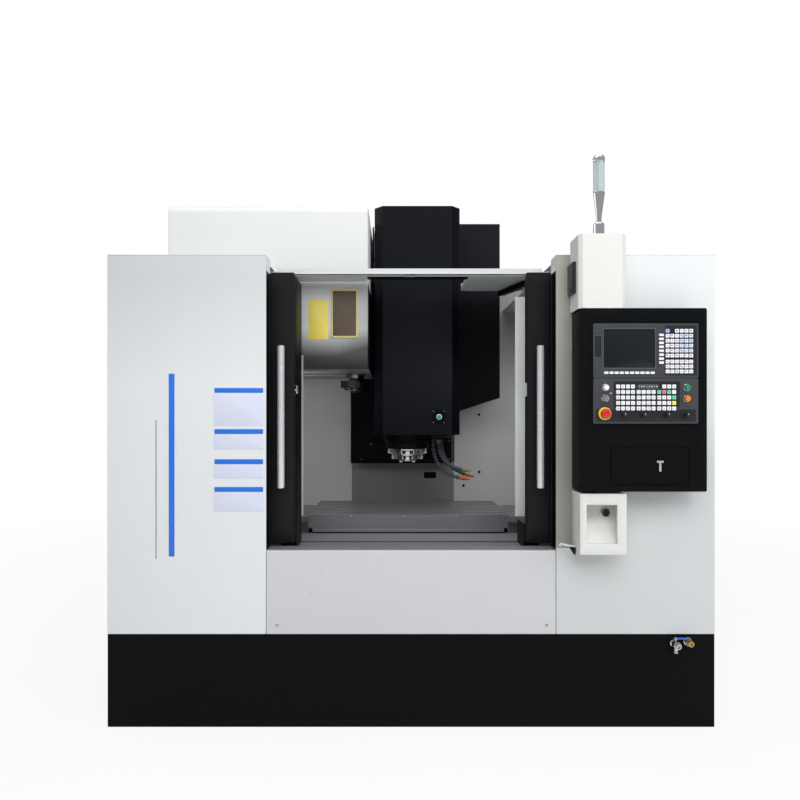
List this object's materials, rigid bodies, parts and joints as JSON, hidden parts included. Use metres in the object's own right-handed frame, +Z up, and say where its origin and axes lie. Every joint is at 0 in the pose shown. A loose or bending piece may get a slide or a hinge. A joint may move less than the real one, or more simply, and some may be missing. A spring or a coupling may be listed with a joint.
{
  "type": "vertical machining center",
  "caption": "Enclosed vertical machining center: T-slot table under a spindle head, arm tool changer, sliding doors, operator console and signal light.",
  "frame": {"origin": "centre of the footprint, on the floor", "axes": "+X the operator's right, +Y into the machine, +Z up"},
  "size_m": [2.5, 2.33, 2.363],
  "materials": {
    "cast": "painted casting",
    "table_iron": "ground",
    "screw_steel": "ground",
    "cover_steel": "satin",
    "ring_steel": "turned",
    "hose_plastic": "matte",
    "black_sheet": "satin",
    "light_sheet": "satin",
    "sill_sheet": "satin",
    "pane": "tinted",
    "amber_pane": "tinted",
    "bright_tube": "satin",
    "console_sheet": "fine texture",
    "unit_plastic": "fine texture",
    "stop_red": "gloss",
    "green_cap": "gloss",
    "orange_cap": "gloss",
    "white_cap": "gloss",
    "bright_metal": "polished",
    "black_knob": "matte",
    "lamp": "clear",
    "blue_lever": "dipped",
    "cabinet_sheet": "satin",
    "pot_plastic": "matte"
  },
  "bodies": {
    "machine": {"base_casting": "cast", "column_casting": "cast", "base_skirt": "black_sheet", "left_panel": "light_sheet", "right_panel": "light_sheet", "sill_panel": "sill_sheet", "roof_frame": "light_sheet", "inner_guards": "light_sheet", "black_guards": "black_sheet", "magazine_cover": "light_sheet", "magazine_window": "amber_pane", "changer_gearbox": "cast", "console_housing": "console_sheet", "display_unit": "unit_plastic", "machine_panel": "unit_plastic", "duct_box": "light_sheet", "niche_box": "light_sheet", "signal_light": "lamp", "rear_cabinet": "cabinet_sheet"},
    "left_door": {"left_door": "black_sheet", "left_window": "pane", "left_handle": "bright_tube"},
    "right_door": {"right_door": "black_sheet", "right_window": "pane", "right_handle": "bright_tube"},
    "saddle": {"saddle_casting": "cast", "saddle_way_covers": "cover_steel"},
    "table": {"work_table": "table_iron", "table_way_covers": "cover_steel"},
    "side_cover_stage_2": {"side_cover_stage_2": "cover_steel"},
    "side_cover_stage_3": {"side_cover_stage_3": "cover_steel"},
    "front_cover_stage_2": {"front_cover_stage_2": "cover_steel"},
    "front_cover_stage_3": {"front_cover_stage_3": "cover_steel"},
    "x_screw": {"x_screw": "screw_steel"},
    "y_screw": {"y_screw": "screw_steel"},
    "z_screw": {"z_screw": "screw_steel"},
    "head": {"head_casting": "cast", "head_cover": "black_sheet", "head_way_plate": "black_sheet", "spindle_ring": "ring_steel", "coolant_hoses": "hose_plastic"},
    "release_button": {"release_button": "green_cap"},
    "spindle": {"spindle_shaft": "screw_steel"},
    "magazine": {"magazine_disc": "pot_plastic"},
    "change_pot": {"change_pot": "pot_plastic"},
    "arm_sleeve": {"arm_sleeve": "screw_steel"},
    "tool_arm": {"tool_arm": "ring_steel"},
    "stop_button": {"stop_button": "stop_red"},
    "key_switch": {"key_switch": "bright_metal"},
    "white_button": {"white_button": "white_cap"},
    "green_button": {"green_button": "green_cap"},
    "orange_button": {"orange_button": "orange_cap"},
    "override_knob_1": {"override_knob_1": "black_knob"},
    "override_knob_2": {"override_knob_2": "black_knob"},
    "override_knob_3": {"override_knob_3": "black_knob"},
    "override_knob_4": {"override_knob_4": "black_knob"},
    "console_flap": {"console_flap": "console_sheet"},
    "flap_latch": {"flap_latch": "bright_metal"},
    "valve_lever": {"valve_lever": "blue_lever"},
    "cabinet_door": {"cabinet_door": "cabinet_sheet"}
  },
  "joints": [
    {"name": "left_door_slide", "type": "slide", "parent": "machine", "child": "left_door", "axis": [1, 0, 0], "range_m": [0, 0.495]},
    {"name": "right_door_slide", "type": "slide", "parent": "machine", "child": "right_door", "axis": [-1, 0, 0], "range_m": [0, 0.495]},
    {"name": "y_travel", "type": "slide", "parent": "machine", "child": "saddle", "axis": [0, 1, 0], "range_m": [-0.25, 0.25]},
    {"name": "x_travel", "type": "slide", "parent": "saddle", "child": "table", "axis": [1, 0, 0], "range_m": [-0.4, 0.4]},
    {"name": "z_travel", "type": "slide", "parent": "machine", "child": "head", "axis": [0, 0, 1], "range_m": [-0.144, 0.406]},
    {"name": "side_cover_2", "type": "slide", "parent": "saddle", "child": "side_cover_stage_2", "axis": [1, 0, 0], "range_m": [-0.27, 0.27]},
    {"name": "side_cover_3", "type": "slide", "parent": "saddle", "child": "side_cover_stage_3", "axis": [1, 0, 0], "range_m": [-0.14, 0.14]},
    {"name": "front_cover_2", "type": "slide", "parent": "machine", "child": "front_cover_stage_2", "axis": [0, 1, 0], "range_m": [-0.17, 0.17]},
    {"name": "front_cover_3", "type": "slide", "parent": "machine", "child": "front_cover_stage_3", "axis": [0, 1, 0], "range_m": [-0.085, 0.085]},
    {"name": "x_screw_turn", "type": "hinge", "parent": "saddle", "child": "x_screw", "pos_m": [0, -0.21, 0.64], "axis": [1, 0, 0], "continuous": true},
    {"name": "y_screw_turn", "type": "hinge", "parent": "machine", "child": "y_screw", "pos_m": [0, 0, 0.44], "axis": [0, 1, 0], "continuous": true},
    {"name": "z_screw_turn", "type": "hinge", "parent": "machine", "child": "z_screw", "pos_m": [0, 0.3, 1.5], "axis": [0, 0, 1], "continuous": true},
    {"name": "spindle_turn", "type": "hinge", "parent": "head", "child": "spindle", "pos_m": [0, -0.21, 1.2], "axis": [0, 0, 1], "continuous": true},
    {"name": "release_press", "type": "slide", "parent": "head", "child": "release_button", "axis": [0, 1, 0], "range_m": [0, 0.004], "stiffness_N_per_m": 800, "springref_m": -0.001},
    {"name": "magazine_turn", "type": "hinge", "parent": "machine", "child": "magazine", "pos_m": [-0.6, -0.21, 1.88], "axis": [1, 0, 0], "continuous": true},
    {"name": "pot_tilt", "type": "hinge", "parent": "magazine", "child": "change_pot", "pos_m": [-0.5985, -0.21, 1.5785], "axis": [0, 1, 0], "range_deg": [-90, 0]},
    {"name": "arm_swing", "type": "hinge", "parent": "machine", "child": "arm_sleeve", "pos_m": [-0.285, -0.21, 1.6], "axis": [0, 0, 1], "range_deg": [-10, 25]},
    {"name": "arm_drop", "type": "slide", "parent": "arm_sleeve", "child": "tool_arm", "axis": [0, 0, 1], "range_m": [-0.115, 0]},
    {"name": "stop_press", "type": "slide", "parent": "machine", "child": "stop_button", "axis": [0, 1, 0], "range_m": [0, 0.006], "stiffness_N_per_m": 1500, "springref_m": -0.001},
    {"name": "key_turn", "type": "hinge", "parent": "machine", "child": "key_switch", "pos_m": [0.755, -1.141, 1.347], "axis": [0, 1, 0], "range_deg": [0, 90]},
    {"name": "white_press", "type": "slide", "parent": "machine", "child": "white_button", "axis": [0, 1, 0], "range_m": [0, 0.004], "stiffness_N_per_m": 800, "springref_m": -0.001},
    {"name": "green_press", "type": "slide", "parent": "machine", "child": "green_button", "axis": [0, 1, 0], "range_m": [0, 0.004], "stiffness_N_per_m": 800, "springref_m": -0.001},
    {"name": "orange_press", "type": "slide", "parent": "machine", "child": "orange_button", "axis": [0, 1, 0], "range_m": [0, 0.004], "stiffness_N_per_m": 800, "springref_m": -0.001},
    {"name": "knob_1_turn", "type": "hinge", "parent": "machine", "child": "override_knob_1", "pos_m": [0.826, -1.141, 1.28], "axis": [0, 1, 0], "range_deg": [-135, 135]},
    {"name": "knob_2_turn", "type": "hinge", "parent": "machine", "child": "override_knob_2", "pos_m": [0.903, -1.141, 1.28], "axis": [0, 1, 0], "range_deg": [-135, 135]},
    {"name": "knob_3_turn", "type": "hinge", "parent": "machine", "child": "override_knob_3", "pos_m": [0.995, -1.141, 1.28], "axis": [0, 1, 0], "range_deg": [-135, 135]},
    {"name": "knob_4_turn", "type": "hinge", "parent": "machine", "child": "override_knob_4", "pos_m": [1.07, -1.141, 1.28], "axis": [0, 1, 0], "range_deg": [-135, 135]},
    {"name": "flap_swing", "type": "hinge", "parent": "machine", "child": "console_flap", "pos_m": [0.9, -1.135, 1.011], "axis": [1, 0, 0], "range_deg": [0, 90]},
    {"name": "latch_turn", "type": "hinge", "parent": "console_flap", "child": "flap_latch", "pos_m": [0.967, -1.135, 1.084], "axis": [0, 1, 0], "range_deg": [0, 90]},
    {"name": "valve_turn", "type": "hinge", "parent": "machine", "child": "valve_lever", "pos_m": [1.078, -1.032, 0.37], "axis": [0, 0, 1], "range_deg": [-90, 0]},
    {"name": "cabinet_door_swing", "type": "hinge", "parent": "machine", "child": "cabinet_door", "pos_m": [0.62, 1.165, 1.1], "axis": [0, 0, 1], "range_deg": [-110, 0]}
  ],
  "couplings": [
    {"joint": "side_cover_2", "follows": "x_travel", "ratio": 0.66667},
    {"joint": "side_cover_3", "follows": "x_travel", "ratio": 0.33333},
    {"joint": "front_cover_2", "follows": "y_travel", "ratio": 0.66667},
    {"joint": "front_cover_3", "follows": "y_travel", "ratio": 0.33333},
    {"joint": "x_screw_turn", "follows": "x_travel", "rad_per_m": 628.32},
    {"joint": "y_screw_turn", "follows": "y_travel", "rad_per_m": 628.32},
    {"joint": "z_screw_turn", "follows": "z_travel", "rad_per_m": 628.32}
  ]
}
